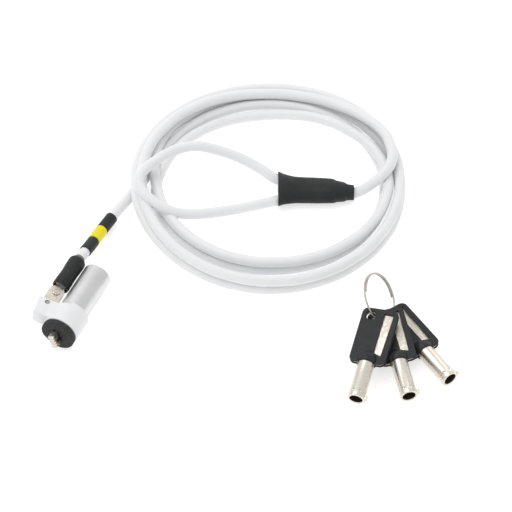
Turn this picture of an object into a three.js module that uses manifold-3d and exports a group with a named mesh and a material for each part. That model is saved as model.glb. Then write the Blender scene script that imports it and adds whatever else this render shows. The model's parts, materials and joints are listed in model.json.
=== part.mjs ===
// Laptop cable lock: a keyed barrel lock on a coiled steel cable with an eye loop,
// and its three tubular keys on a split ring.
// Millimetres, +Z up. Everything lies on the plane z = 0.
import * as THREE from 'three';
import { mergeVertices } from 'three/addons/utils/BufferGeometryUtils.js';
import Module from 'manifold-3d';

const wasm = await Module();
wasm.setup();

// ---------------------------------------------------------------- dimensions
const GAP = 0.3;                        // clearance between neighbouring pieces

// Lock head. Its own frame: +X from the pad to the keyway, +Y to the lug, axis at y = z = 0.
const LOCK_PLACE = { x: -99.9, y: -99.1, yaw: 64.6 };
const BARREL = { radius: 7, bore: 6, front: 3.3, rear: 42 };
const PAD = { radius: 8.5, thick: 3, flat: 7.4 };
const TIP = { length: 7, width: 3, front: -4.6, back: -2.6, turn: -18 };
const COLLAR = { radius: 8.7, bore: 7.3, front: 3.3, back: 14.2, lipBack: 15.6 };
const LUG = { reach: 16.6, front: 4.4, half: 4.1, corner: 1.6 };
const CLIP = { x: 8.6, thick: 0.8, inner: 6.5, outer: 7.75 };
const ROTOR = { radius: 5.7, front: 27.3, back: 35.2, post: 2.45, postEnd: 41.6 };
const STATOR = { radius: 5.7, front: 14.5, back: 27 };
const TUMBLER = { count: 7, circle: 3.5, radius: 0.55, hole: 0.85 };
const KEY_PIN = { front: 28.9, back: 36.2 };
const DRIVER_PIN = { front: 22, back: 26.7 };
const SPRING = { front: 16.4, back: 20.6, turns: 5, radius: 0.42, wire: 0.14 };
const DOWEL = { x: 19, radius: 0.8, hole: 1.1 };
const TANG_PIN = { x: 31.2, radius: 0.5, hole: 0.8 };
const BEZEL = { front: 39, back: 41.8, bore: 4.4 };
const SWIVEL_TURN = 10;                 // of the collar and link about the barrel, lug up
const LINK = { y: 11.9, half: 3.8, pinX: 12.2, rivetX: 21.2, thick: 3, lap: 0.15 };
const BOOT = { front: 25.3, back: 45, radius: 4.3 };

// Cable, coil and eye loop. Routes are measured from the coil's centre on the floor.
const CABLE_RADIUS = 2.65;
const COIL = { outer: 68.5, innerX: 54, innerY: 46, height: 10.9 };
const BAND = { inner: 2.95, outer: 3.15, length: 9.9 };
const SLEEVE = { left: 5.3, right: 43, wall: 0.9 };

const LEAD_ROUTE = [
  [-91, -53.1, 10.8], [-88.6, -48, 10.1], [-86.3, -42.2, 8.1], [-83.2, -33.6, 5.5],
  [-80.4, -27.2, 4.1], [-77, -20.4, 3.3], [-73.8, -14.8, 3], [-70.6, -9.6, 2.75],
];
const TAIL_ROUTE = [
  [43.4, -4.6, 3.9], [45.2, -4.4, 4.2], [47.2, -3.9, 4.8], [49.2, -3.1, 5.8], [51, -2, 7],
];
const LOOP_ROUTE = [
  [3.6, 4, 4.8], [-2.6, 6.6, 5.8], [-10, 10.8, 8], [-18, 14.2, 10.6], [-26, 16, 13.2],
  [-34, 16.2, 15.4], [-42, 14.2, 16.6], [-49.5, 9.8, 17.1], [-56, 4.2, 17.3],
  [-61, -1.4, 17.3], [-63.4, -7.2, 17.2], [-61.6, -13, 17], [-56.2, -18, 16.4],
  [-49, -21, 15.2], [-41, -21.9, 13.2], [-32, -20.4, 10], [-22, -17.8, 7.2],
  [-12, -14.8, 5.4], [-3, -12, 4.7], [3.6, -10.6, 4.6],
];

// Keys and split ring. A key's own frame: origin at its ring hole, +X to the mouth,
// +Y to the window side, +Z out of the front cover.
const KEY = { headBack: -4.2, headFront: 26.3, left: -4.6, right: 13.4, thick: 2.6, corner: 3 };
const KEY_TUBE = { y: 4.3, start: 19.5, mouth: 45.5, radius: 4, bore: 3.1, rim: 4.2, lug: 5.2 };
const KEY_BOSS = { start: 19, radius: 4.6 };
const KEY_HOLE = { mid: 2.5, face: 3.2 };
const PLATE_THICK = 0.6;
const WINDOW = { back: -1.6, front: 20.4, left: 6.5, right: 10.9, slant: 2.2 };
const KEY_PLACES = [
  { x: 48.9, y: -91, z: 13.4, heading: -105.8, pitch: 8.2, roll: 7.5 },
  { x: 52, y: -89.5, z: 8.6, heading: -78, pitch: 3.4, roll: 7.6 },
  { x: 56.4, y: -86.4, z: 4.65, heading: -56, pitch: 0, roll: 0 },
];
const RING = { x: 53.3, y: -78.3, z: 11.7, radius: 12, wire: 0.45, azimuth: 347.8, lean: 35.7 };
const RING_TURNS = { start: 130, end: 655, pitch: 1 };

// ---------------------------------------------------------------- materials
const paint = (color, roughness, metalness) =>
  new THREE.MeshStandardMaterial({ color, roughness, metalness });
const nickel = paint(0xcfccc4, 0.3, 1);
const brushedNickel = paint(0xc4c6c6, 0.38, 1);
const warmNickel = paint(0xd8cdbb, 0.3, 1);
const steel = paint(0x9c9a96, 0.4, 1);
const brass = paint(0xb99a52, 0.38, 1);
const aluminium = paint(0xb4b6b8, 0.45, 1);
const whitePlastic = paint(0xeceef0, 0.35, 0);
const whiteJacket = paint(0xe6e9ea, 0.42, 0);
const blackRubber = paint(0x1f2021, 0.75, 0);
const blackShrink = paint(0x242426, 0.6, 0);
const blackPlastic = paint(0x26282a, 0.45, 0);
const yellowBand = paint(0xf0e010, 0.45, 0);

// ---------------------------------------------------------------- solids
const rad = THREE.MathUtils.degToRad;

function toSolid(geometry) {
  const shell = geometry.clone();
  shell.deleteAttribute('normal');
  shell.deleteAttribute('uv');
  const merged = mergeVertices(shell, 1e-4);
  const vertProperties = Float32Array.from(merged.attributes.position.array);
  const corners = merged.index.array;
  const kept = [];
  for (let i = 0; i < corners.length; i += 3) {
    const [a, b, c] = [corners[i], corners[i + 1], corners[i + 2]];
    if (a !== b && b !== c && a !== c) kept.push(a, b, c);
  }
  if (signedVolume(vertProperties, kept) < 0) kept.reverse();
  const triVerts = Uint32Array.from(kept);
  return new wasm.Manifold(new wasm.Mesh({ numProp: 3, vertProperties, triVerts }));
}

function signedVolume(points, corners) {
  let volume = 0;
  const [a, b, c] = [new THREE.Vector3(), new THREE.Vector3(), new THREE.Vector3()];
  for (let i = 0; i < corners.length; i += 3) {
    a.fromArray(points, 3 * corners[i]);
    b.fromArray(points, 3 * corners[i + 1]);
    c.fromArray(points, 3 * corners[i + 2]);
    volume += a.dot(b.cross(c));
  }
  return volume;
}

function toGeometry(solid) {
  const mesh = solid.getMesh();
  const geometry = new THREE.BufferGeometry();
  geometry.setAttribute('position', new THREE.BufferAttribute(mesh.vertProperties, 3));
  geometry.setIndex(new THREE.BufferAttribute(mesh.triVerts, 1));
  return geometry;
}

const join = (...pieces) => pieces.map(asSolid).reduce((whole, next) => whole.add(next));
const cut = (body, ...tools) =>
  tools.map(asSolid).reduce((rest, tool) => rest.subtract(tool), asSolid(body));
const asSolid = (piece) => (piece.isBufferGeometry ? toSolid(piece) : piece);

// Turned about the X axis from [x, radius] pairs that close on themselves or meet the axis.
function turned(profile, segments = 32) {
  const points = profile.map(([x, radius]) => new THREE.Vector2(radius, x));
  return new THREE.LatheGeometry(points, segments).rotateZ(-Math.PI / 2);
}

const rod = (x0, x1, radius, segments = 24) =>
  turned([[x0, 0], [x0, radius], [x1, radius], [x1, 0]], segments);

const tube = (x0, x1, inner, outer, segments = 32) =>
  turned([[x0, inner], [x0, outer], [x1, outer], [x1, inner], [x0, inner]], segments);

const block = (x0, x1, y0, y1, z0, z1) =>
  new THREE.BoxGeometry(x1 - x0, y1 - y0, z1 - z0)
    .translate((x0 + x1) / 2, (y0 + y1) / 2, (z0 + z1) / 2);

const upright = (x, y, z0, z1, radius, segments = 24) =>
  new THREE.CylinderGeometry(radius, radius, z1 - z0, segments)
    .rotateX(Math.PI / 2).translate(x, y, (z0 + z1) / 2);

function roundedShape(x0, x1, y0, y1, corner) {
  const shape = new THREE.Shape();
  shape.moveTo(x0 + corner, y0);
  shape.lineTo(x1 - corner, y0);
  shape.absarc(x1 - corner, y0 + corner, corner, -Math.PI / 2, 0, false);
  shape.lineTo(x1, y1 - corner);
  shape.absarc(x1 - corner, y1 - corner, corner, 0, Math.PI / 2, false);
  shape.lineTo(x0 + corner, y1);
  shape.absarc(x0 + corner, y1 - corner, corner, Math.PI / 2, Math.PI, false);
  shape.lineTo(x0, y0 + corner);
  shape.absarc(x0 + corner, y0 + corner, corner, Math.PI, 1.5 * Math.PI, false);
  return shape;
}

const slab = (shape, z0, z1, curveSegments = 3) =>
  new THREE.ExtrudeGeometry(shape, { depth: z1 - z0, bevelEnabled: false, curveSegments })
    .translate(0, 0, z0);

function circleShape(radius, sides) {
  const corners = Array.from({ length: sides }, (_, i) => {
    const angle = (2 * Math.PI * i) / sides;
    return new THREE.Vector2(radius * Math.cos(angle), radius * Math.sin(angle));
  });
  return new THREE.Shape(corners);
}

function tubeAlong(curve, radius, sides, steps) {
  return new THREE.ExtrudeGeometry(circleShape(radius, sides), { steps, extrudePath: curve });
}

const smooth = (route) => new THREE.CatmullRomCurve3(route.map((p) => new THREE.Vector3(...p)));

// Closed skin through oval sections across X: each is [x, y, z, half width, half height].
function loft(sections, sides = 16) {
  const points = [];
  const corners = [];
  for (const [x, y, z, wide, high] of sections) {
    for (let i = 0; i < sides; i += 1) {
      const angle = (2 * Math.PI * i) / sides;
      points.push(x, y + wide * Math.cos(angle), z + high * Math.sin(angle));
    }
  }
  const last = sections.length - 1;
  for (let row = 0; row < last; row += 1) {
    for (let i = 0; i < sides; i += 1) {
      const [a, b] = [row * sides + i, row * sides + ((i + 1) % sides)];
      corners.push(a, b, a + sides, b, b + sides, a + sides);
    }
  }
  for (let i = 1; i < sides - 1; i += 1) {
    corners.push(0, i + 1, i);
    corners.push(last * sides, last * sides + i, last * sides + i + 1);
  }
  const geometry = new THREE.BufferGeometry();
  geometry.setAttribute('position', new THREE.Float32BufferAttribute(points, 3));
  geometry.setIndex(corners);
  return geometry;
}

const model = new THREE.Group();

function add(parent, name, piece, material) {
  const geometry = toGeometry(asSolid(piece));
  geometry.computeVertexNormals();
  const mesh = new THREE.Mesh(geometry, material);
  mesh.name = name;
  parent.add(mesh);
  return mesh;
}

// ---------------------------------------------------------------- lock head
const lockHead = new THREE.Group();
lockHead.position.set(LOCK_PLACE.x, LOCK_PLACE.y, COLLAR.radius);
lockHead.rotation.z = rad(LOCK_PLACE.yaw);
model.add(lockHead);
const swivel = new THREE.Group();
swivel.rotation.x = rad(SWIVEL_TURN);
lockHead.add(swivel);

const turnTip = (geometry) => geometry.rotateX(rad(TIP.turn));

// Rounded slot through the nose: long way along Z before it is turned to the tip's angle.
function slot(x0, x1, margin) {
  const long = TIP.length / 2 + margin;
  const short = TIP.width / 2 + margin;
  const shape = roundedShape(-long, long, -short, short, 0.9);
  return turnTip(slab(shape, x0, x1).rotateY(-Math.PI / 2).translate(x0 + x1, 0, 0));
}

function barrelShell() {
  const { radius, bore, front, rear } = BARREL;
  const edge = 0.9;
  const body = turned([
    [front, 4.6], [front, radius], [CLIP.x - GAP, radius], [CLIP.x - GAP, 6.2],
    [CLIP.x + CLIP.thick + GAP, 6.2], [CLIP.x + CLIP.thick + GAP, radius],
    [rear - edge, radius], [rear - edge * 0.3, radius - edge * 0.3], [rear, radius - edge],
    [rear, bore], [STATOR.front - GAP, bore], [STATOR.front - GAP, 2.4], [6.3, 2.4], [6.3, 4.6],
    [front, 4.6],
  ], 36);
  return cut(body, upright(DOWEL.x, 0, -8, -5, DOWEL.hole, 16));
}

function guidePlate() {
  const disc = cut(rod(BARREL.front + 0.2, 6, 4.3), rod(2, 7, 1.45));
  const prong = (z0, z1) => turnTip(block(-2.3, 4.5, -TIP.width / 2, TIP.width / 2, z0, z1));
  const far = TIP.length / 2;
  return join(disc, prong(1.7, far), prong(-far, -1.7));
}

function rubberPad() {
  const { radius, thick, flat } = PAD;
  const disc = turned([
    [0, 0], [0, radius - 0.5], [0.5, radius], [thick, radius], [thick, 0],
  ], 36);
  const trim = block(-1, thick + 1, flat, flat + 5, -10, 10).rotateX(-Math.PI / 4);
  return cut(disc, trim, slot(-1, thick + 1, 0.4));
}

function swivelCollar() {
  const { radius, bore, front, back, lipBack } = COLLAR;
  const edge = 0.7;
  const ring = turned([
    [front, 0], [front, radius - edge], [front + edge, radius],
    [back - edge, radius], [back, radius - edge], [back, 0],
  ], 36);
  const halfLip = cut(rod(back - 1, lipBack, radius - 0.1, 36), block(0, 20, 1, 12, -12, 12));
  const outline = roundedShape(LUG.front, back, 0, LUG.reach, LUG.corner);
  const lug = slab(outline, -LUG.half, LUG.half);
  const pinHole = upright(LINK.pinX, LINK.y, -6, LUG.half + 1, 1.2, 16);
  const tongueSlot = block(8, 20, LINK.y - LINK.half - GAP, LINK.y + LINK.half + GAP,
    -LINK.thick / 2 - GAP, LINK.thick / 2 + GAP);
  const clipGroove = tube(CLIP.x - GAP, CLIP.x + CLIP.thick + GAP, bore - 1, CLIP.outer + GAP, 36);
  return cut(join(ring, halfLip, lug), rod(0, 20, bore, 36), pinHole, tongueSlot, clipGroove);
}

function snapRing() {
  const ring = tube(CLIP.x, CLIP.x + CLIP.thick, CLIP.inner, CLIP.outer, 36);
  return cut(ring, block(CLIP.x - 1, CLIP.x + 3, -10, 0, -1.5, 1.5));
}

function tumblerPlaces() {
  return Array.from({ length: TUMBLER.count }, (_, i) => {
    const angle = Math.PI / 2 + (2 * Math.PI * i) / TUMBLER.count;
    return [TUMBLER.circle * Math.cos(angle), TUMBLER.circle * Math.sin(angle)];
  });
}

const tumblerHole = ([y, z], x0, x1) => rod(x0, x1, TUMBLER.hole, 8).translate(0, y, z);
const tumblerPin = ({ front, back }, [y, z]) =>
  rod(front, back, TUMBLER.radius, 8).translate(0, y, z);
const tangPinHole = () => upright(TANG_PIN.x, 0, -7, 0, TANG_PIN.hole, 12);

function rotor() {
  const { radius, front, back, post, postEnd } = ROTOR;
  const body = turned([
    [front, 0], [front, radius], [back, radius], [back, post], [postEnd - 0.4, post],
    [postEnd, post - 0.4], [postEnd, 0],
  ], 24);
  const holes = tumblerPlaces().map((place) => tumblerHole(place, front - 1, back + 1));
  const guideSlot = block(back + 1, postEnd + 1, -0.6, 0.6, post - 0.7, post + 1);
  return cut(body, rod(front - 1, 33.3, 1.5, 16), tangPinHole(), guideSlot, ...holes);
}

function stator() {
  const body = cut(rod(STATOR.front, STATOR.back, STATOR.radius, 24), rod(10, 30, 1.8, 12));
  const holes = tumblerPlaces().map((place) => tumblerHole(place, 16, STATOR.back + 1));
  return cut(body, upright(DOWEL.x, 0, -8, -4.6, DOWEL.hole, 16), ...holes);
}

function tBar() {
  const head = block(TIP.front + 0.3, TIP.back, -1.15, 1.15, -3.3, 3.3);
  const ribs = [-2, -1, 0, 1, 2].map((k) => block(TIP.front, TIP.back,
    -TIP.width / 2, TIP.width / 2, 1.5 * k - 0.5, 1.5 * k + 0.5));
  const shaft = join(rod(TIP.back - 0.1, 15.4, 1.15, 16),
    rod(15.2, 27.1, 1.5, 16), rod(27, 33, 1.2, 16));
  return cut(join(turnTip(toGeometry(join(head, ...ribs))), shaft), tangPinHole());
}

function pinSpring([y, z]) {
  const { front, back, turns, radius, wire } = SPRING;
  const quarters = 4 * turns;
  const helix = new THREE.CatmullRomCurve3(Array.from({ length: quarters + 1 }, (_, i) => {
    const angle = (Math.PI * i) / 2;
    const x = front + ((back - front) * i) / quarters;
    return new THREE.Vector3(x, y + radius * Math.cos(angle), z + radius * Math.sin(angle));
  }));
  return tubeAlong(helix, wire, 3, 5 * turns);
}

function rearBezel() {
  const { front, back, bore } = BEZEL;
  const ring = tube(front, back, bore, BARREL.bore - 0.15, 48);
  return cut(ring, block(front - 1, back + 1, -1.25, 1.25, 3.5, KEY_TUBE.lug + GAP));
}

// Flat strap from the collar's lug to the cable end, halved where it laps over the cable's eye.
function linkPlate() {
  const { y, half, pinX, rivetX, thick, lap } = LINK;
  const tall = thick / 2;
  const foot = half - GAP;
  const body = join(
    block(15, rivetX, y - half, y + half, -tall, tall),
    upright(rivetX, y, -tall, tall, half, 32),
    block(pinX, 16, y - foot, y + foot, -tall, tall),
    upright(pinX, y, -tall, tall, foot, 32),
  );
  const halving = block(rivetX - half, 30, y - 6, y + 6, -thick, lap);
  return cut(body, halving, upright(pinX, y, -5, 5, 1.2, 16), upright(rivetX, y, -5, 5, 1.35, 16));
}

function linkRivet() {
  const { y, rivetX, thick } = LINK;
  const under = thick / 2 + 0.1;
  const over = under + 0.7;
  return join(upright(rivetX, y, -over, over, 1.05, 16),
    upright(rivetX, y, under, over, 2, 20), upright(rivetX, y, -over, -under, 2, 20));
}

function cableFerrule() {
  const { y, rivetX, thick, lap } = LINK;
  const [bottom, top] = [-thick / 2, lap - GAP];
  const eye = join(upright(rivetX, y, bottom, top, 3.2, 24),
    block(rivetX, BOOT.front + 3, y - 2.5, y + 2.5, bottom, top));
  const barrel = rod(BOOT.front + 1.5, BOOT.back - 2, 3.2).translate(0, y, 0);
  return cut(join(eye, barrel), upright(rivetX, y, -5, 5, 1.35, 16));
}

function cableBoot() {
  const { front, back, radius } = BOOT;
  const skin = turned([
    [front, 3.5], [front, radius - 0.1], [front + 1, radius], [30, radius], [35, radius - 0.25],
    [39, radius - 0.05], [42, radius], [44, radius - 0.5], [back, radius - 1.3], [back, 2],
    [back - 1.7, 2], [back - 1.7, 3.5], [front, 3.5],
  ], 20);
  return skin.translate(0, LINK.y, 0);
}

function buildLockHead() {
  add(lockHead, 'barrel_shell', barrelShell(), brushedNickel);
  add(lockHead, 'guide_plate', guidePlate(), steel);
  add(lockHead, 'rubber_pad', rubberPad(), blackRubber);
  add(swivel, 'swivel_collar', swivelCollar(), whitePlastic);
  add(lockHead, 'collar_snap_ring', snapRing(), steel);
  add(lockHead, 'lock_rotor', rotor(), nickel);
  add(lockHead, 'lock_stator', stator(), brass);
  add(lockHead, 'stator_dowel', upright(DOWEL.x, 0, -6.9, -4.9, DOWEL.radius, 16), steel);
  add(lockHead, 't_bar', tBar(), nickel);
  add(lockHead, 't_bar_pin', upright(TANG_PIN.x, 0, -5.4, -0.3, TANG_PIN.radius, 12), steel);
  add(lockHead, 'rear_bezel', rearBezel(), nickel);
  tumblerPlaces().forEach((place, i) => {
    add(lockHead, `key_pin_${i + 1}`, tumblerPin(KEY_PIN, place), brass);
    add(lockHead, `driver_pin_${i + 1}`, tumblerPin(DRIVER_PIN, place), steel);
    add(lockHead, `pin_spring_${i + 1}`, pinSpring(place), steel);
  });
  add(swivel, 'link_plate', linkPlate(), warmNickel);
  add(swivel, 'link_pin', upright(LINK.pinX, LINK.y, -3.6, LUG.half - 0.1, 0.9, 16), steel);
  add(swivel, 'link_rivet', linkRivet(), nickel);
  add(swivel, 'cable_ferrule', cableFerrule(), aluminium);
  add(swivel, 'cable_boot', cableBoot(), blackShrink);
}

// ---------------------------------------------------------------- cable
function cableCoil() {
  const { outer, innerX, innerY, height } = COIL;
  const edge = 2;
  const disc = turned([
    [0, 0], [0, outer - edge], [edge, outer], [height - edge, outer],
    [height, outer - edge], [height, 0],
  ], 48);
  const hollow = rod(-1, height + 1, 1, 48).scale(1, innerY, innerX);
  return cut(disc, hollow).rotate([0, -90, 0]);
}

// A marker ring round the lead, centred at a place from 0 to 1 along it.
function band(lead, place, colour, name) {
  const centre = lead.getPointAt(place);
  const mesh = add(model, name, tube(-BAND.length / 2, BAND.length / 2, BAND.inner, BAND.outer, 20),
    colour);
  mesh.position.copy(centre);
  mesh.quaternion.setFromUnitVectors(new THREE.Vector3(1, 0, 0), lead.getTangentAt(place));
}

const SLEEVE_SECTIONS = [
  [SLEEVE.left, -3.2, 5.4, 10.6, 5.2], [9, -3.4, 5.2, 9.2, 5], [14, -3.6, 4.9, 7.9, 4.7],
  [24, -3.9, 4.8, 7.6, 4.6], [32, -4.1, 4.8, 7.4, 4.6], [34.5, -4.3, 4.6, 6, 4.4],
  [38, -4.4, 4.4, 5.4, 4.2], [39.8, -4.5, 4.2, 4, 3.9], [SLEEVE.right, -4.6, 4, 3.8, 3.8],
];

function loopSleeve() {
  const bore = SLEEVE_SECTIONS.map(([x, y, z, wide, high]) =>
    [x, y, z, wide - SLEEVE.wall, high - SLEEVE.wall]);
  bore[0][0] -= 1;
  bore.at(-1)[0] += 1;
  return cut(loft(SLEEVE_SECTIONS), loft(bore));
}

function loopCrimp() {
  const sections = SLEEVE_SECTIONS.filter(([x]) => x > 10 && x < 33);
  return loft(sections.map(([x, y, z, wide, high]) => [x, y, z, wide - 1.4, high - 1.4]));
}

function buildCable() {
  const lead = smooth(LEAD_ROUTE);
  add(model, 'cable_lead', tubeAlong(lead, CABLE_RADIUS, 8, 9), whiteJacket);
  add(model, 'cable_coil', cableCoil(), whiteJacket);
  add(model, 'cable_tail', tubeAlong(smooth(TAIL_ROUTE), CABLE_RADIUS, 8, 3), whiteJacket);
  add(model, 'cable_loop', tubeAlong(smooth(LOOP_ROUTE), CABLE_RADIUS, 8, 30), whiteJacket);
  add(model, 'loop_crimp', loopCrimp(), aluminium);
  add(model, 'loop_sleeve', loopSleeve(), blackShrink);
  band(lead, 0.235, blackShrink, 'marker_black_lower');
  band(lead, 0.449, yellowBand, 'marker_yellow');
  band(lead, 0.663, blackShrink, 'marker_black_upper');
}

// ---------------------------------------------------------------- keys
const headOutline = (inset) => roundedShape(KEY.headBack + inset, KEY.headFront - inset,
  KEY.left + inset, KEY.right - inset, KEY.corner);

function ringHole() {
  const { mid, face } = KEY_HOLE;
  const tall = KEY.thick / 2;
  return turned([
    [-tall - 1, 0], [-tall - 1, face], [-tall, face], [-PLATE_THICK, mid], [PLATE_THICK, mid],
    [tall, face], [tall + 1, face], [tall + 1, 0],
  ], 12).rotateY(Math.PI / 2);
}

// Window over the bow plate: a slanted-ended strip near one edge of the head.
function windowOpening() {
  const shape = new THREE.Shape();
  shape.moveTo(WINDOW.back, WINDOW.left);
  shape.lineTo(WINDOW.back, WINDOW.right);
  shape.lineTo(WINDOW.front, WINDOW.right);
  shape.lineTo(WINDOW.front - WINDOW.slant, WINDOW.left);
  return slab(shape, 0, 4);
}

const tubeBore = (margin) =>
  rod(KEY_TUBE.start - margin, 60, KEY_TUBE.radius + margin, 16).translate(0, KEY_TUBE.y, 0);

// One moulded half of the head; side is +1 for the front, -1 for the back.
function keyCover(side) {
  const outer = KEY.thick / 2;
  const inner = PLATE_THICK / 2 + 0.1;
  const shell = slab(headOutline(0), inner, outer);
  const boss = turned([
    [KEY_BOSS.start - 2.5, 0], [KEY_BOSS.start, KEY_BOSS.radius - 1],
    [KEY_BOSS.start + 2, KEY_BOSS.radius], [KEY.headFront, KEY_BOSS.radius], [KEY.headFront, 0],
  ], 16).translate(0, KEY_TUBE.y, 0);
  const half = join(shell, cut(boss, block(0, 40, -10, 20, -9, inner)));
  const holes = [tubeBore(GAP), ringHole()];
  if (side > 0) holes.push(windowOpening());
  const cover = cut(half, ...holes);
  return side > 0 ? cover : cover.mirror([0, 0, 1]);
}

function bowPlate() {
  const half = PLATE_THICK / 2;
  const inset = 0.5;
  return cut(slab(headOutline(inset), -half, half), tubeBore(GAP), ringHole());
}

function keyTube() {
  const { y, start, mouth, radius, bore, rim, lug } = KEY_TUBE;
  const body = turned([
    [start, 0], [start, radius], [mouth - 2.6, radius], [mouth - 2.4, rim], [mouth, rim],
    [mouth, bore], [mouth - 14, bore], [mouth - 14, 0],
  ], 20);
  const outerLug = block(mouth - 2.4, mouth, radius - 0.6, lug, -1, 1);
  const nib = block(mouth - 3, mouth - 0.4, bore - 0.7, bore + 0.3, -0.5, 0.5);
  const bitting = [-60, -10, 40, 90, 140].map((angle, i) =>
    block(mouth - 3.6, mouth - 2.9 + 0.1 * (i % 3), radius - 0.35, radius + 1, -0.45, 0.45)
      .rotateX(rad(angle)));
  return cut(join(body, outerLug, nib), ...bitting).translate([0, y, 0]);
}

// Split ring of one and a half turns, wound about its own leaning axis.
function splitRing() {
  const { radius, wire, azimuth, lean } = RING;
  const { start, end, pitch } = RING_TURNS;
  const axis = new THREE.Vector3(Math.cos(rad(azimuth)) * Math.cos(rad(lean)),
    Math.sin(rad(azimuth)) * Math.cos(rad(lean)), Math.sin(rad(lean)));
  const across = new THREE.Vector3().crossVectors(axis, new THREE.Vector3(0, 0, 1)).normalize();
  const down = new THREE.Vector3().crossVectors(axis, across);
  const middle = (start + end) / 2;
  const points = [];
  for (let angle = start; angle <= end; angle += 15) {
    const climb = (pitch * (angle - middle)) / 360;
    points.push(new THREE.Vector3(RING.x, RING.y, RING.z)
      .addScaledVector(across, radius * Math.cos(rad(angle)))
      .addScaledVector(down, radius * Math.sin(rad(angle)))
      .addScaledVector(axis, climb));
  }
  return tubeAlong(new THREE.CatmullRomCurve3(points), wire, 5, 48);
}

function buildKeys() {
  add(model, 'key_ring', splitRing(), nickel);
  KEY_PLACES.forEach(({ x, y, z, heading, pitch, roll }, i) => {
    const key = new THREE.Group();
    key.position.set(x, y, z);
    key.rotation.set(rad(roll), rad(pitch), rad(heading), 'ZYX');
    model.add(key);
    const name = `key_${i + 1}`;
    add(key, `${name}_tube`, keyTube(), nickel);
    add(key, `${name}_bow_plate`, bowPlate(), warmNickel);
    add(key, `${name}_front_cover`, keyCover(1), blackPlastic);
    add(key, `${name}_back_cover`, keyCover(-1), blackPlastic);
  });
}

buildLockHead();
buildCable();
buildKeys();

// The origin sits under the middle of the lock head and keys, on the floor.
const FREE_CABLE = /^(cable_(lead|coil|tail|loop|boot)|loop_|marker_)/;
const solidBox = new THREE.Box3();
model.updateMatrixWorld(true);
model.traverse((node) => {
  if (node.isMesh && !FREE_CABLE.test(node.name)) solidBox.expandByObject(node, true);
});
const middle = solidBox.getCenter(new THREE.Vector3());
model.position.set(-middle.x, -middle.y, -solidBox.min.z);

export default model;
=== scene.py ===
# Laptop cable lock: the looks, in Blender 4.5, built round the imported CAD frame.
# Shapes are drawn in millimetres, each in its own frame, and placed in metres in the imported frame.
import json
import math
import random

import bmesh
import bpy
from mathutils import Euler, Matrix, Vector


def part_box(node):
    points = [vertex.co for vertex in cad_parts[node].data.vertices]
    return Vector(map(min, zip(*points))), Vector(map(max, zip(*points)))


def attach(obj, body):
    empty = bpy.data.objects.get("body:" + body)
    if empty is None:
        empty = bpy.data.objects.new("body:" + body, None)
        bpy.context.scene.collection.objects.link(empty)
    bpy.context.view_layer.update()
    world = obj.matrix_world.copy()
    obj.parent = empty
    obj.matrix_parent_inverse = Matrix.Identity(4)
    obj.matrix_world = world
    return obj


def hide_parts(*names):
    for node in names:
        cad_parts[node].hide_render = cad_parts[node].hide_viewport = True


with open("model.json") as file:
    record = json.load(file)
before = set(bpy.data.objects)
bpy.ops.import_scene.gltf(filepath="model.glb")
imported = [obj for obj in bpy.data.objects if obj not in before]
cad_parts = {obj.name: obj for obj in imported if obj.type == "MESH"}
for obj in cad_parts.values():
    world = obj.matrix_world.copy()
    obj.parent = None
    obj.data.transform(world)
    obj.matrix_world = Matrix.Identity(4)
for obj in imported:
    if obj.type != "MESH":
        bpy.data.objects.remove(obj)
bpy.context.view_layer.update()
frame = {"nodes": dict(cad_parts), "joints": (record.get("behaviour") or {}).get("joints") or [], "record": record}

MM = 0.001
GAP = 0.3
CABLE = 5.3                      # cable diameter, mm
JOINTS = {joint["name"]: joint for joint in frame["joints"]}
SLOTS = {part["node"]: part["material_slot"] for part in frame["record"]["subparts"]}

coil_low, coil_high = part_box("cable_coil")
COIL_CENTRE = Vector(((coil_low.x + coil_high.x) / 2, (coil_low.y + coil_high.y) / 2, 0))
CAMERA = {"elevation": 50, "distance": 1.3, "lens": 186.7, "sensor": 36}   # degrees, m, mm, mm
CAMERA_AIM = Vector((-0.0057, -0.0424, 0))                                 # from the coil's centre
LIGHT_AIM = (0, 0.04, 0)
FLOOR_REACH = 3


# ------------------------------------------------------------------ camera and light
def add_camera():
    """Camera looking along +Y and down at its elevation."""
    elevation = math.radians(CAMERA["elevation"])
    target = COIL_CENTRE + CAMERA_AIM
    forward = Vector((0, math.cos(elevation), -math.sin(elevation)))
    camera = bpy.data.objects.new("camera", bpy.data.cameras.new("camera"))
    camera.data.sensor_width = CAMERA["sensor"]
    camera.data.lens = CAMERA["lens"]
    camera.data.clip_end = 20
    camera.location = target - forward * CAMERA["distance"]
    camera.rotation_euler = forward.to_track_quat("-Z", "Y").to_euler()
    bpy.context.scene.collection.objects.link(camera)
    bpy.context.scene.camera = camera


def add_area(name, place, target, size, power):
    light = bpy.data.objects.new(name, bpy.data.lights.new(name, "AREA"))
    light.data.shape = "RECTANGLE"
    light.data.size, light.data.size_y = size
    light.data.energy = power
    light.location = place
    light.rotation_euler = (Vector(target) - Vector(place)).to_track_quat("-Z", "Y").to_euler()
    bpy.context.scene.collection.objects.link(light)


def add_studio():
    scene = bpy.context.scene
    scene.view_settings.view_transform = "Standard"
    scene.view_settings.look = "None"
    world = bpy.data.worlds.new("studio")
    scene.world = world
    world.use_nodes = True
    background = world.node_tree.nodes["Background"]
    background.inputs["Color"].default_value = (1, 1, 1, 1)
    background.inputs["Strength"].default_value = 0.82
    add_area("key", (-0.5, 0.3, 1.2), LIGHT_AIM, (1.0, 1.0), 5)
    add_area("back", (0.2, 1.2, 0.6), LIGHT_AIM, (1.2, 0.5), 1.5)


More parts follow.
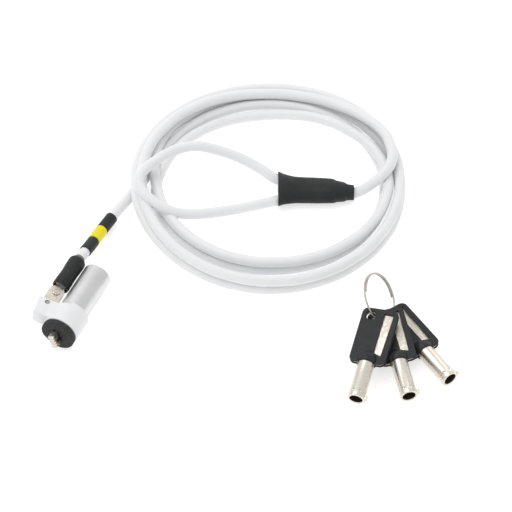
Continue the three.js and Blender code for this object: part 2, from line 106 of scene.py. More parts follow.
def add_floor():
    """Pale paper that glows a little, so that it stays white with only faint shadows."""
    size = FLOOR_REACH
    mesh = bpy.data.meshes.new("floor")
    corners = [(-size, -size, 0), (size, -size, 0), (size, size, 0), (-size, size, 0)]
    mesh.from_pydata(corners, [], [(0, 1, 2, 3)])
    floor = bpy.data.objects.new("floor", mesh)
    bpy.context.scene.collection.objects.link(floor)
    paper = bpy.data.materials.new("paper")
    paper.use_nodes = True
    shader = paper.node_tree.nodes["Principled BSDF"]
    shader.inputs["Base Color"].default_value = (0.6, 0.6, 0.6, 1)
    shader.inputs["Roughness"].default_value = 0.9
    shader.inputs["Emission Color"].default_value = (1, 1, 1, 1)
    shader.inputs["Emission Strength"].default_value = 0.62
    mesh.materials.append(paper)


# ------------------------------------------------------------------ materials
class Finish:
    """A material on object coordinates: a Principled shader with colour, roughness, bump."""

    def __init__(self, name, color, roughness, metallic=0.0, **sockets):
        self.material = bpy.data.materials.new(name)
        self.material.use_nodes = True
        self.nodes = self.material.node_tree.nodes
        self.links = self.material.node_tree.links
        self.shader = self.nodes["Principled BSDF"]
        self.color = color
        self.set(Base_Color=(*color, 1), Roughness=roughness, Metallic=metallic, **sockets)
        self.place = self.nodes.new("ShaderNodeTexCoord").outputs["Object"]
        self.height = None

    def set(self, **sockets):
        for name, value in sockets.items():
            self.shader.inputs[name.replace("_", " ")].default_value = value

    def stretched(self, scale, turn=(0, 0, 0)):
        mapping = self.nodes.new("ShaderNodeMapping")
        mapping.vector_type = "TEXTURE"
        mapping.inputs["Scale"].default_value = scale
        mapping.inputs["Rotation"].default_value = turn
        self.links.new(self.place, mapping.inputs["Vector"])
        return mapping.outputs["Vector"]

    def noise(self, scale, detail=3.0, vector=None, rough=0.5):
        node = self.nodes.new("ShaderNodeTexNoise")
        node.inputs["Scale"].default_value = scale
        node.inputs["Detail"].default_value = detail
        node.inputs["Roughness"].default_value = rough
        self.links.new(vector or self.place, node.inputs["Vector"])
        return node.outputs["Fac"]

    def ramp(self, factor, low, high, start=0.35, stop=0.65):
        node = self.nodes.new("ShaderNodeMapRange")
        limits = {"From Min": start, "From Max": stop, "To Min": low, "To Max": high}
        for name, value in limits.items():
            node.inputs[name].default_value = value
        self.links.new(factor, node.inputs["Value"])
        return node.outputs["Result"]

    def vary_color(self, factor, other, start=0.3, stop=0.7):
        mix = self.nodes.new("ShaderNodeMix")
        mix.data_type = "RGBA"
        mix.inputs["A"].default_value = (*self.color, 1)
        mix.inputs["B"].default_value = (*other, 1)
        self.links.new(self.ramp(factor, 0, 1, start, stop), mix.inputs["Factor"])
        self.links.new(mix.outputs["Result"], self.shader.inputs["Base Color"])

    def vary_roughness(self, factor, low, high):
        self.links.new(self.ramp(factor, low, high), self.shader.inputs["Roughness"])

    def bump(self, factor, depth, strength=1.0):
        node = self.nodes.new("ShaderNodeBump")
        node.inputs["Distance"].default_value = depth
        node.inputs["Strength"].default_value = strength
        self.links.new(factor, node.inputs["Height"])
        if self.height:
            self.links.new(self.height, node.inputs["Normal"])
        self.height = node.outputs["Normal"]
        self.links.new(self.height, self.shader.inputs["Normal"])


LOCK_YAW = math.atan2(JOINTS["barrel_spin"]["axis"][1], JOINTS["barrel_spin"]["axis"][0])


def metal(name, color, roughness, other=None, brushed=False):
    """Plated metal with a fine grain, drawn out along the lock if brushed, and soft clouding."""
    finish = Finish(name, color, roughness, metallic=1.0)
    if brushed:
        grain = finish.noise(900, 2, finish.stretched((14, 0.8, 0.8), (0, 0, LOCK_YAW)))
    else:
        grain = finish.noise(1800, 3)
    finish.vary_roughness(grain, roughness - 0.05, roughness + 0.05)
    finish.vary_color(finish.noise(130, 4), other or tuple(0.9 * c for c in color))
    finish.bump(grain, 0.000004, 0.3)
    return finish.material


def scuffed(name, color, roughness, other):
    """Warm satin nickel, mottled and lightly scuffed."""
    finish = Finish(name, color, roughness, metallic=1.0)
    finish.vary_color(finish.noise(1100, 6, rough=0.7), other, 0.42, 0.72)
    finish.vary_roughness(finish.noise(700, 4), roughness - 0.1, roughness + 0.12)
    finish.bump(finish.noise(1600, 5), 0.00003, 0.6)
    return finish.material


def plastic(name, color, roughness, grit, other, shine=0.5):
    """Moulded or extruded plastic with a fine skin and slight colour drift."""
    finish = Finish(name, color, roughness, Specular_IOR_Level=shine)
    fine = finish.noise(2600, 3)
    finish.vary_color(finish.noise(90, 4), other)
    finish.vary_roughness(finish.noise(300, 3), roughness - 0.06, roughness + 0.08)
    finish.bump(finish.noise(260, 2), 0.00006, 0.25)
    finish.bump(fine, grit, 0.5)
    return finish.material


def rubber(name):
    """Black rubber, flecked with paler grains."""
    finish = Finish(name, (0.024, 0.0245, 0.025), 0.75, Specular_IOR_Level=0.3)
    flecks = finish.noise(2300, 2)
    finish.vary_color(flecks, (0.075, 0.078, 0.068), 0.54, 0.68)
    finish.bump(finish.noise(1500, 4), 0.00006, 0.8)
    return finish.material


def painted_bore_shade():
    """Dark brownish steel colour inside the key tubes, painted shade in the bore."""
    finish = Finish("painted_bore_shade", (0.05, 0.032, 0.024), 0.6, metallic=0.4)
    finish.vary_color(finish.noise(700, 3), (0.012, 0.009, 0.008))
    finish.vary_roughness(finish.noise(900, 2), 0.5, 0.7)
    finish.bump(finish.noise(1500, 2), 0.00002, 0.5)
    return finish.material


# Dark colour for the inside of the key tubes: painted shade in their bores.
BORE_SHADE = painted_bore_shade()
MATERIALS = {
    "barrel_nickel": metal("barrel_nickel", (0.71, 0.715, 0.71), 0.34, (0.66, 0.665, 0.66), True),
    "bright_nickel": metal("bright_nickel", (0.75, 0.705, 0.63), 0.3, (0.73, 0.685, 0.61)),
    "warm_nickel": scuffed("warm_nickel", (0.70, 0.655, 0.58), 0.42, (0.50, 0.45, 0.385)),
    "steel": metal("steel", (0.42, 0.41, 0.39), 0.36),
    "brass": metal("brass", (0.58, 0.42, 0.16), 0.34),
    "aluminium": metal("aluminium", (0.55, 0.56, 0.57), 0.42),
    "white_plastic": plastic("white_plastic", (0.80, 0.805, 0.815), 0.4, 0.00001,
                             (0.775, 0.78, 0.795), 0.4),
    "white_jacket": plastic("white_jacket", (0.80, 0.81, 0.812), 0.4, 0.000012,
                            (0.77, 0.785, 0.79), 0.4),
    "black_rubber": rubber("black_rubber"),
    "black_shrink": plastic("black_shrink", (0.012, 0.0125, 0.0135), 0.5, 0.00004,
                            (0.019, 0.02, 0.021), 0.3),
    "black_plastic": plastic("black_plastic", (0.014, 0.016, 0.0175), 0.42, 0.00003,
                             (0.021, 0.023, 0.025), 0.3),
    "yellow_band": plastic("yellow_band", (0.80, 0.69, 0.01), 0.45, 0.00002, (0.72, 0.60, 0.01),
                           0.3),
}


# ------------------------------------------------------------------ mesh tools
def new_piece(name, points, faces):
    mesh = bpy.data.meshes.new(name)
    mesh.from_pydata([tuple(p) for p in points], [], faces)
    tidy = bmesh.new()
    tidy.from_mesh(mesh)
    bmesh.ops.remove_doubles(tidy, verts=tidy.verts, dist=1e-5)
    bmesh.ops.recalc_face_normals(tidy, faces=tidy.faces)
    tidy.to_mesh(mesh)
    tidy.free()
    piece = bpy.data.objects.new(name, mesh)
    bpy.context.scene.collection.objects.link(piece)
    return piece


def skin(name, rings, closed=False, capped=True):
    """Joins rings of points, each with the same count, into one surface."""
    count = len(rings[0])
    points = [point for ring in rings for point in ring]
    faces = []
    for i in range(len(rings) if closed else len(rings) - 1):
        a, b = i * count, (i + 1) % len(rings) * count
        for j in range(count):
            k = (j + 1) % count
            faces.append((a + j, a + k, b + k, b + j))
    if capped and not closed:
        faces.append(tuple(range(count))[::-1])
        faces.append(tuple(range(len(points) - count, len(points))))
    return new_piece(name, points, faces)


def lathe(name, profile, segments=96):
    """Turns a closed profile of (x, radius) points about the X axis."""
    rings = []
    for i in range(segments):
        angle = 2 * math.pi * i / segments
        rings.append([Vector((x, r * math.cos(angle), r * math.sin(angle))) for x, r in profile])
    return skin(name, rings, closed=True)


def rod(name, x0, x1, radius, segments=64):
    circle = [(radius * math.cos(2 * math.pi * i / segments),
               radius * math.sin(2 * math.pi * i / segments)) for i in range(segments)]
    return skin(name, [[Vector((x, y, z)) for y, z in circle] for x in (x0, x1)])


def post(name, x, y, z0, z1, radius, segments=48):
    circle = [(x + radius * math.cos(2 * math.pi * i / segments),
               y + radius * math.sin(2 * math.pi * i / segments)) for i in range(segments)]
    return skin(name, [[Vector((u, v, z)) for u, v in circle] for z in (z0, z1)])


def prism(name, outline, z0, z1):
    return skin(name, [[Vector((x, y, z)) for x, y in outline] for z in (z0, z1)])


def box(name, x0, x1, y0, y1, z0, z1):
    return prism(name, [(x0, y0), (x1, y0), (x1, y1), (x0, y1)], z0, z1)


def rounded(x0, x1, y0, y1, corner, steps=8):
    """Outline of a rectangle with round corners."""
    centres = [(x1 - corner, y1 - corner, 0), (x0 + corner, y1 - corner, 90),
               (x0 + corner, y0 + corner, 180), (x1 - corner, y0 + corner, 270)]
    outline = []
    for x, y, start in centres:
        for i in range(steps + 1):
            angle = math.radians(start + 90 * i / steps)
            outline.append((x + corner * math.cos(angle), y + corner * math.sin(angle)))
    return outline


def applied(piece):
    """Bakes a piece's modifiers into its mesh."""
    graph = bpy.context.evaluated_depsgraph_get()
    mesh = bpy.data.meshes.new_from_object(piece.evaluated_get(graph))
    piece.modifiers.clear()
    piece.data = mesh
    return piece


def combine(piece, tools, operation):
    for tool in tools:
        modifier = piece.modifiers.new("combine", "BOOLEAN")
        modifier.operation = operation
        modifier.solver = "EXACT"
        modifier.object = tool
    applied(piece)
    for tool in tools:
        bpy.data.objects.remove(tool)
    return piece


def cut(piece, *tools):
    return combine(piece, tools, "DIFFERENCE")


def join(piece, *tools):
    return combine(piece, tools, "UNION")


def ease_edges(piece, width, segments=3, angle=32):
    modifier = piece.modifiers.new("edges", "BEVEL")
    modifier.width = width
    modifier.segments = segments
    modifier.limit_method = "ANGLE"
    modifier.angle_limit = math.radians(angle)
    return applied(piece)


def moulded(piece, voxel, rounds):
    """Remeshes and relaxes a solid, so that its steps blend as in a moulding."""
    remesh = piece.modifiers.new("remesh", "REMESH")
    remesh.mode = "VOXEL"
    remesh.voxel_size = voxel
    relax = piece.modifiers.new("relax", "CORRECTIVE_SMOOTH")
    relax.smooth_type = "LENGTH_WEIGHTED"
    relax.use_only_smooth = True
    relax.iterations = rounds
    relax.factor = 0.5
    return applied(piece)


def dressed(piece, slot, body, matrix, *nodes, angle=35):
    """Places a finished piece with its material and body, and hides the nodes it stands for."""
    piece.data.transform(matrix)
    piece.data.update()
    piece.data.shade_smooth()
    piece.data.set_sharp_from_angle(angle=math.radians(angle))
    piece.data.materials.clear()
    piece.data.materials.append(MATERIALS[slot])
    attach(piece, body)
    if nodes:
        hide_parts(*nodes)
    return piece


# ------------------------------------------------------------------ cable
# Routes in metres, measured from the coil's centre on the floor.
LEAD_ROUTE = [
    (-0.0910, -0.0531, 0.0108), (-0.0886, -0.0480, 0.0101), (-0.0863, -0.0422, 0.0081),
    (-0.0832, -0.0336, 0.0055), (-0.0804, -0.0272, 0.0041), (-0.0770, -0.0204, 0.0033),
    (-0.0738, -0.0148, 0.0030), (-0.0706, -0.0096, 0.00275), (-0.0662, -0.0023, 0.00265),
    (-0.0600, 0.0083, 0.00265), (-0.0535, 0.0195, 0.00265),
]
TAIL_ROUTE = [
    (0.0592, 0.0275, 0.0122), (0.0614, 0.0198, 0.0134), (0.0624, 0.0135, 0.0136),
    (0.0618, 0.0080, 0.0134), (0.0600, 0.0036, 0.0128), (0.0573, 0.0006, 0.0117),
    (0.0540, -0.0017, 0.0098), (0.0506, -0.0031, 0.0075), (0.0470, -0.0040, 0.0052),
    (0.0434, -0.0046, 0.0039),
]
SLEEVE_OUTWARD = [
    (0.0380, -0.0042, 0.0042), (0.0310, -0.0030, 0.0046), (0.0230, -0.0012, 0.0048),
    (0.0150, 0.0006, 0.0049), (0.0090, 0.0022, 0.0049),
]
LOOP_ROUTE = [
    (0.0036, 0.0042, 0.0049), (-0.0026, 0.0083, 0.0064), (-0.0100, 0.0121, 0.0086),
    (-0.0180, 0.0147, 0.0109), (-0.0260, 0.0160, 0.0132), (-0.0340, 0.0162, 0.0154),
    (-0.0420, 0.0142, 0.0166), (-0.0495, 0.0098, 0.0171), (-0.0560, 0.0042, 0.0173),
    (-0.0610, -0.0014, 0.0173), (-0.0634, -0.0072, 0.0170), (-0.0618, -0.0134, 0.0158),
    (-0.0562, -0.0190, 0.0138), (-0.0490, -0.0224, 0.0112), (-0.0410, -0.0225, 0.0086),
    (-0.0320, -0.0204, 0.0063), (-0.0220, -0.0178, 0.0051), (-0.0120, -0.0152, 0.0047),
    (-0.0030, -0.0125, 0.0046), (0.0036, -0.0106, 0.0046),
]
SLEEVE_INWARD = [
    (0.0080, -0.0094, 0.0047), (0.0130, -0.0082, 0.0048), (0.0190, -0.0072, 0.0048),
    (0.0240, -0.0068, 0.0048),
]
# The coil, clockwise from its left side: angle in degrees, radius in mm, height in diameters.
COIL_STATIONS = [
    (31, 56.8, 0.5), (90, 56.7, 0.5), (180, 58.4, 0.5), (270, 53.4, 0.5), (360, 55.5, 0.55),
    (383, 52.4, 0.8), (415, 50.0, 0.6), (450, 49.3, 0.5), (495, 53.2, 1.25), (540, 60.0, 1.5),
    (630, 53.0, 1.5), (720, 55.5, 1.55), (750, 61.2, 1.0), (810, 62.6, 0.5), (900, 65.9, 0.5),
    (990, 65.3, 0.5), (1080, 65.6, 1.5), (1115, 67.0, 0.9), (1170, 68.2, 0.5),
    (1215, 67.0, 1.2), (1260, 65.9, 1.5), (1350, 65.0, 1.5), (1440, 62.4, 2.3),
    (1463, 61.8, 2.2), (1530, 59.8, 1.38), (1560, 61.4, 1.6), (1582, 64.0, 2.0),
]
COIL_STEP = 18                   # degrees between coil points


def along(stations, angle):
    """Smooth value of (radius, height) at an angle between the stations."""
    last = len(stations) - 1
    i = max(k for k in range(last) if stations[k][0] <= angle or k == 0)

    def slope(k, column):
        before, after = stations[max(k - 1, 0)], stations[min(k + 1, last)]
        return (after[column] - before[column]) / (after[0] - before[0])

    start, stop = stations[i], stations[i + 1]
    span = stop[0] - start[0]
    t = (angle - start[0]) / span
    values = []
    for column in (1, 2):
        values.append((2 * t ** 3 - 3 * t ** 2 + 1) * start[column]
                      + (t ** 3 - 2 * t ** 2 + t) * span * slope(i, column)
                      + (3 * t ** 2 - 2 * t ** 3) * stop[column]
                      + (t ** 3 - t ** 2) * span * slope(i + 1, column))
    return values


def coil_route():
    first, last = COIL_STATIONS[0][0], COIL_STATIONS[-1][0]
    steps = round((last - first) / COIL_STEP)
    points = []
    for i in range(steps + 1):
        angle = first + (last - first) * i / steps
        radius, height = along(COIL_STATIONS, angle)
        turn = math.radians(180 - angle)
        points.append((radius * MM * math.cos(turn), radius * MM * math.sin(turn),
                       max(height, 0.5) * CABLE * MM))
    return points


def bezier(name, points):
    """One smooth curve through points, with the cable's own section."""
    data = bpy.data.curves.new(name, "CURVE")
    data.dimensions = "3D"
    data.resolution_u = 10
    data.bevel_depth = CABLE / 2 * MM
    data.bevel_resolution = 7
    data.use_fill_caps = True
    spline = data.splines.new("BEZIER")
    spline.bezier_points.add(len(points) - 1)
    for knot, point in zip(spline.bezier_points, points):
        knot.co = point
        knot.handle_left_type = knot.handle_right_type = "AUTO"
    piece = bpy.data.objects.new(name, data)
    bpy.context.scene.collection.objects.link(piece)
    return piece


def smooth_line(points, per_span=8):
    """Catmull-Rom points through a route."""
    padded = [2 * points[0] - points[1], *points, 2 * points[-1] - points[-2]]
    line = []
    for a, b, c, d in zip(padded, padded[1:], padded[2:], padded[3:]):
        for i in range(per_span):
            t = i / per_span
            line.append(0.5 * (2 * b + t * (c - a) + t * t * (2 * a - 5 * b + 4 * c - d)
                               + t ** 3 * (3 * b - a - 3 * c + d)))
    return line + [points[-1]]


def sweep(name, line, sections, sides=40):
    """Tube along a line; sections gives (place from 0 to 1, radius) of its closed outline."""
    lengths = [0.0]
    for a, b in zip(line, line[1:]):
        lengths.append(lengths[-1] + (b - a).length)

    def point_at(place):
        reach = min(max(place, 0), 1) * lengths[-1]
        i = max(k for k in range(len(line) - 1) if lengths[k] <= reach or k == 0)
        t = (reach - lengths[i]) / (lengths[i + 1] - lengths[i])
        return line[i].lerp(line[i + 1], t), (line[i + 1] - line[i]).normalized()

    rings = []
    for place, radius in sections:
        centre, forward = point_at(place)
        side = forward.cross(Vector((0, 0, 1))).normalized()
        up = side.cross(forward)
        rings.append([centre + radius * (math.cos(2 * math.pi * k / sides) * side
                                         + math.sin(2 * math.pi * k / sides) * up)
                      for k in range(sides)])
    return skin(name, rings, closed=True)


MARKERS = (("marker_black_lower", 0.215, "black_shrink"), ("marker_yellow", 0.429, "yellow_band"),
           ("marker_black_upper", 0.643, "black_shrink"))
BAND_LENGTH = 10.2
LEAD_POINTS = 8                  # the lead's own points, up to the edge of the coil


def add_markers():
    """Thin coloured sleeves shrunk round the lead."""
    line = smooth_line([COIL_CENTRE + Vector(p) for p in LEAD_ROUTE[:LEAD_POINTS]])
    total = sum((b - a).length for a, b in zip(line, line[1:]))
    half = BAND_LENGTH / 2 * MM / total
    bands = []
    for name, place, slot in MARKERS:
        inner, outer = 2.66 * MM, 3.05 * MM
        steps = [place - half + 2 * half * i / 12 for i in range(13)]
        sections = [(s, outer) for s in steps[1:-1]]
        lip = 0.15 * MM / total
        sections = ([(steps[0], inner), (steps[0], outer - 0.12 * MM), (steps[0] + lip, outer)]
                    + sections + [(steps[-1] - lip, outer), (steps[-1], outer - 0.12 * MM),
                                  (steps[-1], inner)]
                    + [(s, inner) for s in reversed(steps[1:-1])])
        band = sweep(f"{name}_band", line, sections)
        bands.append(dressed(band, slot, "cable", Matrix.Identity(4), name))
    return bands


# Sleeve stations: x, y, z of the centre and half width and half height, mm from the coil's centre.
SLEEVE_STATIONS = [
    (5.3, -3.2, 5.4, 10.6, 5.2), (6.4, -3.25, 5.35, 10.2, 5.1), (9, -3.4, 5.2, 9.0, 5.0),
    (14, -3.6, 4.9, 7.9, 4.7), (24, -3.9, 4.8, 7.5, 4.6), (31, -4.1, 4.8, 7.3, 4.6),
    (33, -4.2, 4.7, 6.9, 4.5), (34.6, -4.3, 4.6, 6.0, 4.4), (38, -4.4, 4.4, 5.3, 4.2),
    (39.6, -4.5, 4.25, 4.3, 4.0), (41, -4.55, 4.1, 3.9, 3.85), (43, -4.6, 4.0, 3.8, 3.8),
]


def station_ring(station, margin, sides, seed):
    x, y, z, wide, high = station
    ring = []
    for k in range(sides):
        angle = 2 * math.pi * k / sides
        ripple = 0.06 * math.sin(3 * angle + seed) + 0.04 * math.sin(7 * angle - 2 * seed)
        ring.append(Vector((x, y + (wide - margin) * math.cos(angle),
                            max(z + (high - margin) * math.sin(angle) + ripple, 0.2))))
    return ring


def add_sleeve():
    """Heat-shrink sleeve over the crimp, pinched between the two strands."""
    fine = smooth_line([Vector(s[:3]) for s in SLEEVE_STATIONS], 5)
    sizes = smooth_line([Vector((s[3], s[4], 0)) for s in SLEEVE_STATIONS], 5)
    sides = 64
    stations = [(*p, size.x, size.y) for p, size in zip(fine, sizes)]
    outer = [station_ring(s, 0, sides, 0.35 * i) for i, s in enumerate(stations)]
    inner = [station_ring(s, 0.8, sides, 0.35 * i) for i, s in enumerate(stations)]
    sleeve = skin("loop_sleeve_skin", outer + inner[::-1], closed=True)
    place = Matrix.Translation(COIL_CENTRE) @ Matrix.Scale(MM, 4)
    return dressed(sleeve, "black_shrink", "cable", place, "loop_sleeve", angle=50)


def add_cable():
    route = [*LEAD_ROUTE, *coil_route(), *TAIL_ROUTE, *SLEEVE_OUTWARD, *LOOP_ROUTE, *SLEEVE_INWARD]
    points = [COIL_CENTRE + Vector(p) for p in route]
    cable = bezier("security_cable", points)
    cable.data.materials.append(MATERIALS["white_jacket"])
    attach(cable, "cable")
    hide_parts("cable_lead", "cable_coil", "cable_tail", "cable_loop")
    fittings = [frame["nodes"]["loop_crimp"], add_sleeve(), add_boot(), *add_markers()]


# ------------------------------------------------------------------ lock head
SPIN_PLACE = 8                   # of the spin joint's centre behind the lock's front, mm
SWIVEL_TURN = 10                 # degrees, lug up


def lock_matrix():
    spin = JOINTS["barrel_spin"]
    x_axis = Vector(spin["axis"]).normalized()
    origin = Vector(spin["pos_m"]) - SPIN_PLACE * MM * x_axis
    y_axis = Vector((0, 0, 1)).cross(x_axis)
    turn = Matrix((x_axis, y_axis, (0, 0, 1))).transposed().to_4x4()
    return Matrix.Translation(origin) @ turn @ Matrix.Scale(MM, 4)


LOCK = lock_matrix()
SWIVEL = LOCK @ Matrix.Rotation(math.radians(SWIVEL_TURN), 4, "X")   # collar, link, cable end
LINK_Y, PIN_X, RIVET_X = 11.9, 12.2, 21.2
COLLAR = {"radius": 8.7, "bore": 7.3, "front": 3.3, "back": 14.2, "lip": 15.6}


def arc(x, r, radius, start, stop, steps=6):
    """Profile points of a fillet about (x, r), angles in degrees."""
    return [(x + radius * math.cos(math.radians(start + (stop - start) * i / steps)),
             r + radius * math.sin(math.radians(start + (stop - start) * i / steps)))
            for i in range(steps + 1)]


def add_boot():
    profile = [(25.3, 3.5), *arc(25.8, 3.7, 0.5, 180, 90, 4)]
    for i in range(31):
        x = 26.3 + 0.5 * i
        waist = 0.2 * math.exp(-((x - 34) / 3.2) ** 2)
        wrinkle = 0.05 * math.sin(2.6 * x) * math.exp(-((x - 26) / 5) ** 2)
        profile.append((x, 4.25 - waist + wrinkle + 0.05 * (x > 38)))
    profile += [*arc(42.2, 1.8, 2.5, 90, 8, 10), (45, 2.0), (44.9, 1.95), (43.3, 1.95), (43.3, 3.5)]
    boot = lathe("cable_boot_skin", profile, 80)
    boot.data.transform(Matrix.Translation((0, LINK_Y, 0)))
    return dressed(boot, "black_shrink", "cable", SWIVEL, "cable_boot")


def add_barrel():
    profile = [(3.3, 4.6), (3.3, 7), (8.3, 7), (8.3, 6.2), (9.7, 6.2), (9.7, 7),
               *arc(41.1, 6.1, 0.9, 90, 0, 8), (42, 6.05), (14.2, 6.0), (14.2, 2.4), (6.3, 2.4),
               (6.3, 4.6)]
    barrel = cut(lathe("barrel_body", profile, 128), post("dowel", 19, 0, -8, -5, 1.1))
    dressed(barrel, "barrel_nickel", "barrel", LOCK, "barrel_shell")


def collar_section():
    """Outline across the collar in (y, z): the ring, blended by fillets into the lug."""
    radius, lug_half, reach, fillet, corner = COLLAR["radius"], 4.1, 16.6, 7.0, 1.3
    centre_y = math.sqrt((radius + fillet) ** 2 - (lug_half + fillet) ** 2)
    touch = math.degrees(math.atan2(lug_half + fillet, centre_y))
    ring = arc(0, 0, radius, touch, 360 - touch, 72)
    upper = arc(centre_y, lug_half + fillet, fillet, 270, touch + 180, 10)
    lower = [(y, -z) for y, z in reversed(upper)]
    tip = (arc(reach - corner, -lug_half + corner, corner, 270, 360, 5)
           + arc(reach - corner, lug_half - corner, corner, 0, 90, 5))
    return ring[1:-1] + lower + tip + upper[1:-1]


def across(outline, x0, x1, name):
    return skin(name, [[Vector((x, y, z)) for y, z in outline] for x in (x0, x1)])


def add_collar():
    front, back, radius, bore = (COLLAR[k] for k in ("front", "back", "radius", "bore"))
    body = across(collar_section(), front + 0.9, back, "swivel_collar_body")
    body = ease_edges(body, 0.8, 5, 60)
    ring = ease_edges(rod("ring", front, back, radius, 128), 0.7, 4, 60)
    lip = cut(rod("lip", back - 1, COLLAR["lip"], radius - 0.1, 96),
              box("side", 0, 20, 1, 12, -12, 12))
    join(body, ring, ease_edges(lip, 0.35, 3, 60))
    tongue = box("tongue", 8, 20, LINK_Y - 4.1, LINK_Y + 4.1, -1.8, 1.8)
    groove = cut(rod("groove", 8.3, 9.7, 8.05, 96), rod("core", 8, 10, 6.3, 96))
    pin = post("pin", PIN_X, LINK_Y, -6, 6, 1.15)
    cut(body, rod("bore", 0, 20, bore, 128), pin, tongue, groove)
    for vertex in body.data.vertices:
        if vertex.co.y > 9:
            vertex.co.y += 0.16 * (vertex.co.x - 9) * (vertex.co.y - 9) / 7
    dressed(body, "white_plastic", "collar", SWIVEL, "swivel_collar", angle=40)


TIP_TURN = Matrix.Rotation(math.radians(-18), 4, "X")


def add_pad():
    profile = [(0, 0), *arc(0.6, 7.9, 0.6, 180, 90, 5), (2.7, 8.5), (3, 8.3), (3, 0)]
    pad = lathe("nose_pad", profile, 96)
    trim = box("trim", -1, 4, 7.4, 12, -10, 10)
    trim.data.transform(Matrix.Rotation(math.radians(-45), 4, "X"))
    slot = prism("slot", rounded(-3.8, 3.8, -1.8, 1.8, 1.2), -4, 1)
    slot.data.transform(TIP_TURN @ Matrix.Rotation(math.radians(-90), 4, "Y"))
    cut(pad, trim, slot)
    dressed(ease_edges(pad, 0.12, 2, 40), "black_rubber", "barrel", LOCK, "rubber_pad")


def add_tip():
    """The T-bar: a ribbed tip on a shaft."""
    tip = box("slot_tip", -4.3, -2.6, -1.15, 1.15, -3.3, 3.3)
    ribs = []
    for k in range(-2, 3):
        rib = box(f"rib{k}", -4.6, -2.6, -1.5, 1.5, 1.5 * k - 0.5, 1.5 * k + 0.5)
        ribs.append(ease_edges(rib, 0.32, 3))
    join(tip, *ribs)
    tip.data.transform(TIP_TURN)
    shaft = [(-2.7, 0), (-2.7, 1.15), (15.2, 1.15), (15.2, 1.5), (27.1, 1.5), (27.1, 1.2),
             (33, 1.2), (33, 0)]
    join(tip, lathe("shaft", shaft, 32))
    cut(tip, post("tang", 31.2, 0, -7, 0, 0.8))
    dressed(tip, "bright_nickel", "rotor", LOCK, "t_bar")


def add_link():
    """Flat strap from the collar to the cable, halved at the rivet, and the two-headed rivet."""
    half, tall, lap = 3.8, 1.5, 0.15
    end = [(RIVET_X + half * math.cos(a), LINK_Y + half * math.sin(a))
           for a in (math.radians(-90 + 6 * i) for i in range(31))]
    outline = [(14.9, LINK_Y + half), (14.9, LINK_Y - half), *end]
    link = join(prism("link_strap", outline, -tall, tall),
                box("foot", PIN_X, 16, LINK_Y - half + GAP, LINK_Y + half - GAP, -tall, tall),
                post("eye", PIN_X, LINK_Y, -tall, tall, half - GAP))
    halving = box("halving", RIVET_X - half, 30, LINK_Y - 6, LINK_Y + 6, -3, lap)
    cut(link, halving, post("hole", PIN_X, LINK_Y, -5, 5, 1.2),
        post("bore", RIVET_X, LINK_Y, -5, 5, 1.35))
    dressed(ease_edges(link, 0.16, 3), "warm_nickel", "collar", SWIVEL, "link_plate")
    heads = [ease_edges(post("head", RIVET_X, LINK_Y, z0, z1, 1.95), 0.25, 4)
             for z0, z1 in ((tall + 0.01, tall + 0.6), (-tall - 0.7, -tall - 0.1))]
    rivet = join(post("cable_rivet", RIVET_X, LINK_Y, -tall - 0.5, tall + 0.5, 1.05), *heads)
    ring = cut(post("groove", RIVET_X, LINK_Y, tall + 0.35, tall + 1, 1.35),
               post("core", RIVET_X, LINK_Y, tall, tall + 2, 0.95))
    cut(rivet, ring, post("dimple", RIVET_X, LINK_Y, tall + 0.3, tall + 1, 0.4))
    dressed(rivet, "warm_nickel", "collar", SWIVEL, "link_rivet")


# ------------------------------------------------------------------ keys
KEY_TURNS = [(-105.8, 8.2, 7.5), (-78, 3.4, 7.6), (-56, 0, 0)]   # heading, pitch, roll
KEY = {"back": -4.2, "front": 26.3, "left": -4.6, "right": 13.4, "corner": 3, "half": 1.3}
TUBE_Y = 4.3
PLATE_HALF = 0.3
WINDOW = [(-1.9, 6.5), (20.0, 6.5), (21.5, 10.1), (-1.5, 10.9)]


def key_matrix(index):
    heading, pitch, roll = (math.radians(a) for a in KEY_TURNS[index])
    hole = Vector(JOINTS[f"key_{index + 1}_swing"]["pos_m"])
    turn = Euler((roll, pitch, heading), "XYZ").to_matrix().to_4x4()
    return Matrix.Translation(hole) @ turn @ Matrix.Scale(MM, 4)


def head_outline(inset):
    return rounded(KEY["back"] + inset, KEY["front"] - inset, KEY["left"] + inset,
                   KEY["right"] - inset, KEY["corner"] - inset / 2)


def ring_hole():
    return lathe("hole", [(-3, 0), (-3, 2.9), (-1.3, 2.9), (-0.7, 2.25), (0.7, 2.25), (1.3, 2.9),
                          (3, 2.9), (3, 0)], 48)


def tube_room():
    room = lathe("tube", TUBE_ROOM, 64)
    room.data.transform(Matrix.Translation((0, TUBE_Y, 0)))
    return room


def key_hole():
    hole = ring_hole()
    hole.data.transform(Matrix.Rotation(math.radians(90), 4, "Y"))
    return hole


def bow_plate(name):
    """Flat metal core of a key's head, ending at the root of the tube."""
    plate = prism(name, head_outline(0.5), -PLATE_HALF, PLATE_HALF)
    return ease_edges(cut(plate, key_hole(), tube_room()), 0.08, 2)


def key_cover(side, name):
    """Moulded half of a key's head, swelling over the tube."""
    low, high = (0.62, KEY["half"]) if side > 0 else (-KEY["half"], -0.62)
    cover = prism(name, head_outline(0.15), low, high)
    swell = lathe("swell", [(18.3, 0), (19.6, 1.6), (20.9, 3.1), (22.2, 4.15), (23.6, 4.6),
                            (26.1, 4.6), (26.1, 0)], 64)
    swell.data.transform(Matrix.Translation((0, TUBE_Y, 0)))
    other_half = (-20, low) if side > 0 else (high, 20)
    join(cover, cut(swell, box("lid", 10, 40, -20, 30, *other_half)))
    tools = [key_hole(), tube_room()]
    if side > 0:
        tools.append(prism("window", WINDOW, -1, 6))
    cut(cover, *tools)
    return moulded(cover, 0.16, 5)


TUBE_ROOM = [(21.2, 0), (21.2, 2.2), (24, 4.25), (60, 4.25), (60, 0)]


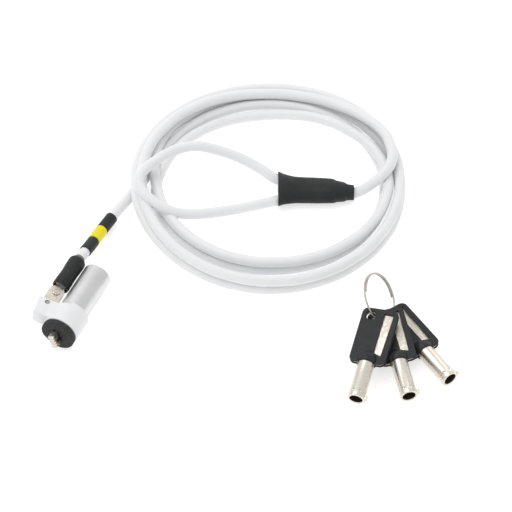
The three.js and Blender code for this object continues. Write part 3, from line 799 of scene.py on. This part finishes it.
def key_tube(name):
    """Tubular blade: plain tube, notched round its mouth behind a thin rim, with a side lug."""
    profile = [(21.5, 0), (21.5, 2), (24.2, 4), (42.7, 4), (42.9, 4.1), (43.3, 4.2),
               *arc(45.2, 3.9, 0.3, 90, 0, 4), *arc(45.3, 3.3, 0.2, 0, -90, 2),
               (31.5, 3.1), (31.5, 0)]
    tube = lathe(name, profile, 96)
    lug = ease_edges(box("lug", 43.3, 45.4, 3.6, 5.2, -0.95, 0.95), 0.2, 3)
    join(tube, lug)
    bitting = random.Random(11)
    notches = []
    for k in range(7):
        angle = math.radians(90 + 360 * (k + 0.5) / 7)
        depth = bitting.uniform(1.2, 2.6)
        notch = rod(f"notch{k}", 42.6 - depth * 0.4, 43.2, 0.62, 16)
        notch.data.transform(Matrix.Translation((0, 4.2 * math.cos(angle), 4.2 * math.sin(angle))))
        notches.append(notch)
    cut(tube, *notches)
    tube.data.transform(Matrix.Translation((0, TUBE_Y, 0)))
    return tube


# Faces inside each tube's bore get the dark second material: painted shade in the hollow.
def paint_bore_shade(tube, place):
    tube.data.materials.append(BORE_SHADE)
    back = place.inverted()
    for face in tube.data.polygons:
        x, y, z = back @ face.center
        if math.hypot(y - TUBE_Y, z) < 3.25 and 31 < x < 45.1:
            face.material_index = 1


def add_keys():
    for index in range(3):
        number, place = index + 1, key_matrix(index)
        body = f"key_{number}"
        dressed(key_cover(1, f"key_{number}_front"), "black_plastic", body, place,
                f"key_{number}_front_cover", angle=60)
        dressed(key_cover(-1, f"key_{number}_back"), "black_plastic", body, place,
                f"key_{number}_back_cover", angle=60)
        dressed(bow_plate(f"key_{number}_plate"), "warm_nickel", body, place,
                f"key_{number}_bow_plate")
        tube = dressed(key_tube(f"key_{number}_blade"), "bright_nickel", body, place,
                       f"key_{number}_tube")
        paint_bore_shade(tube, place)


RING = {"centre": (53.3, -78.3, 11.7), "radius": 12, "wire": 0.45, "azimuth": 347.8, "lean": 35.7,
        "start": 130, "stop": 655, "pitch": 1}


def add_ring():
    """Split ring of one and a half turns of round wire, with blunt ends."""
    azimuth, lean = math.radians(RING["azimuth"]), math.radians(RING["lean"])
    axis = Vector((math.cos(azimuth) * math.cos(lean), math.sin(azimuth) * math.cos(lean),
                   math.sin(lean)))
    side = axis.cross(Vector((0, 0, 1))).normalized()
    down = axis.cross(side)
    middle = (RING["start"] + RING["stop"]) / 2
    rings, steps, sides = [], 150, 14
    for i in range(steps + 1):
        degrees = RING["start"] + (RING["stop"] - RING["start"]) * i / steps
        angle = math.radians(degrees)
        out = math.cos(angle) * side + math.sin(angle) * down
        centre = (Vector(RING["centre"]) + RING["radius"] * out
                  + axis * RING["pitch"] * (degrees - middle) / 360)
        blunt = 0.7 if i in (0, steps) else 1
        rings.append([centre + RING["wire"] * blunt * (math.cos(2 * math.pi * k / sides) * out
                                                       + math.sin(2 * math.pi * k / sides) * axis)
                      for k in range(sides)])
    ring = skin("split_ring", rings)
    place = Matrix.Translation(COIL_CENTRE) @ Matrix.Scale(MM, 4)
    dressed(ring, "bright_nickel", "key_ring", place, "key_ring", angle=60)
    ring.data.materials[0] = metal("ring_wire", (0.56, 0.52, 0.455), 0.36, (0.47, 0.43, 0.37))


def dress_frame():
    """Gives every CAD node its finish and smooth shading."""
    for name, node in frame["nodes"].items():
        node.data.materials.clear()
        node.data.materials.append(MATERIALS[SLOTS[name]])
        node.data.shade_smooth()
        node.data.set_sharp_from_angle(angle=math.radians(35))


add_camera()
add_cable()
add_studio()
add_floor()
dress_frame()
add_barrel()
add_collar()
add_pad()
add_tip()
add_link()
add_keys()
add_ring()
